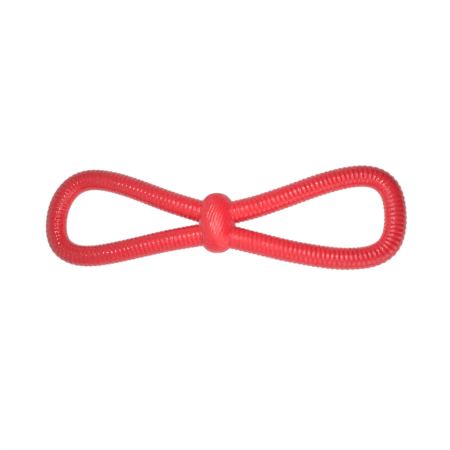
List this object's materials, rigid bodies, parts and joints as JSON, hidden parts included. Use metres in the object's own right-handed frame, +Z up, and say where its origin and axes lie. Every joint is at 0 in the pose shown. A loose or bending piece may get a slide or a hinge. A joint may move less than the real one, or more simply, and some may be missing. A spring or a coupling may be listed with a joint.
{
  "type": "dog loop toy",
  "caption": "Figure-eight tug and fetch toy: teardrop loops of ribbed rubber cord that bend and twist against a grooved central knot.",
  "frame": {"origin": "on the surface that the toy lies on, in the middle of the flat under the knot", "axes": "+X along the toy from the knot towards the right loop, +Y across the toy towards the upper legs, +Z up from the surface"},
  "size_m": [0.3042, 0.0914, 0.0294],
  "materials": {
    "red_rubber": "smooth, waxy gloss"
  },
  "bodies": {
    "knot": {"knot": "red_rubber"},
    "left_necks": {"left_upper_neck": "red_rubber", "left_lower_neck": "red_rubber"},
    "left_loop": {"left_loop": "red_rubber"},
    "right_necks": {"right_upper_neck": "red_rubber", "right_lower_neck": "red_rubber"},
    "right_loop": {"right_loop": "red_rubber"}
  },
  "joints": [
    {"name": "left_twist", "type": "hinge", "parent": "knot", "child": "left_necks", "pos_m": [-0.0175, 0, 0.0144], "axis": [-1, 0, 0], "range_deg": [-45, 45], "stiffness_Nm_per_rad": 1.3, "deforming": ["left_upper_neck", "left_lower_neck"]},
    {"name": "left_fold", "type": "hinge", "parent": "left_necks", "child": "left_loop", "pos_m": [-0.04525, 0, 0.01372], "axis": [0, 1, 0], "range_deg": [-60, 60], "stiffness_Nm_per_rad": 0.8, "deforming": ["left_upper_neck", "left_lower_neck"]},
    {"name": "right_twist", "type": "hinge", "parent": "knot", "child": "right_necks", "pos_m": [0.0175, 0, 0.0144], "axis": [1, 0, 0], "range_deg": [-45, 45], "stiffness_Nm_per_rad": 1.3, "deforming": ["right_upper_neck", "right_lower_neck"]},
    {"name": "right_fold", "type": "hinge", "parent": "right_necks", "child": "right_loop", "pos_m": [0.04525, 0, 0.01373], "axis": [0, -1, 0], "range_deg": [-60, 60], "stiffness_Nm_per_rad": 0.8, "deforming": ["right_upper_neck", "right_lower_neck"]}
  ]
}
